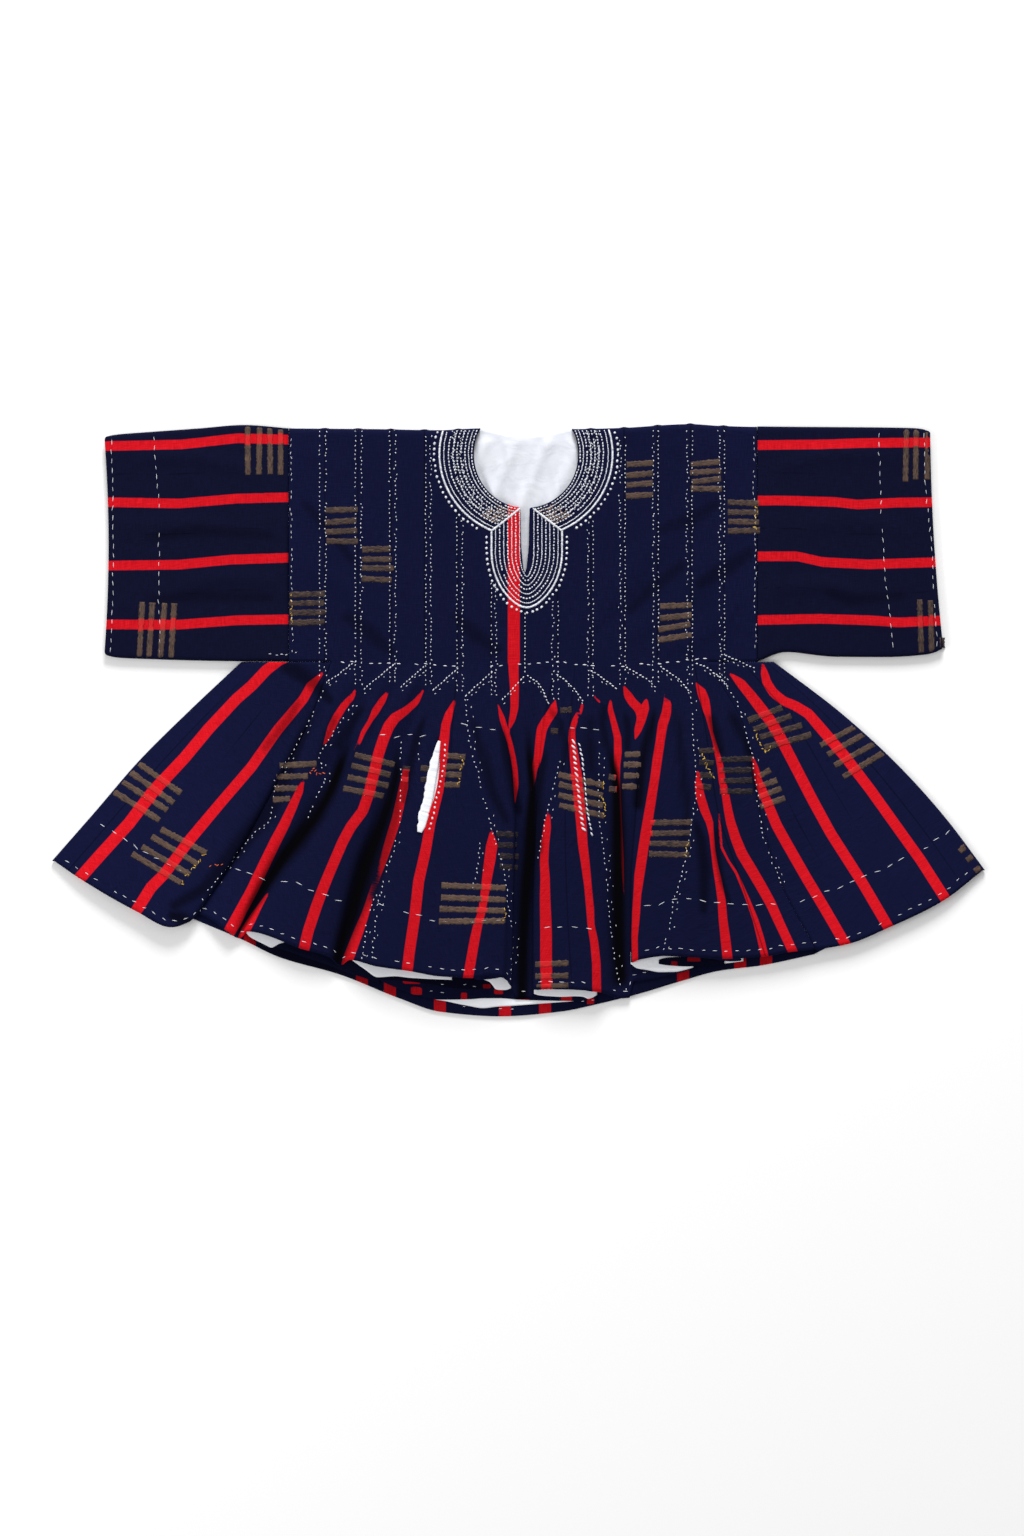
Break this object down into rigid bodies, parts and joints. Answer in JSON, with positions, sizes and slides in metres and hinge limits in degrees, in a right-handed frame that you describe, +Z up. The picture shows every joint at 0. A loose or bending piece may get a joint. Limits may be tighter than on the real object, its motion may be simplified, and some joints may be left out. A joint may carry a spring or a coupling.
{
  "type": "fugu smock",
  "caption": "Wide strip-woven smock laid flat, with short square sleeves, an embroidered round neck with a slit, sewn tucks to the waist and a flared skirt.",
  "frame": {"origin": "on the surface that the smock lies on, under the middle of its outline", "axes": "+Z up from the surface, +Y towards the shoulders, +X to the viewer's right as the front is looked at from above"},
  "size_m": [1.305, 0.8301, 0.0257],
  "materials": {
    "navy_strip_cloth": "matt hand-woven cotton strips, dark navy with red warp stripes and bronze weft bars",
    "navy_sleeve_cloth": "matt hand-woven cotton strips, dark navy with red stripes along the sleeve",
    "white_lining_cotton": "plain bleached cotton, slightly cool white"
  },
  "bodies": {
    "root": {"front_panel": "navy_strip_cloth", "back_panel": "navy_strip_cloth", "side_gore_left": "navy_strip_cloth", "side_gore_right": "navy_strip_cloth", "sleeve_left": "navy_sleeve_cloth", "sleeve_right": "navy_sleeve_cloth", "back_lining": "white_lining_cotton", "front_lining": "white_lining_cotton", "pocket_left": "white_lining_cotton"}
  },
  "joints": []
}
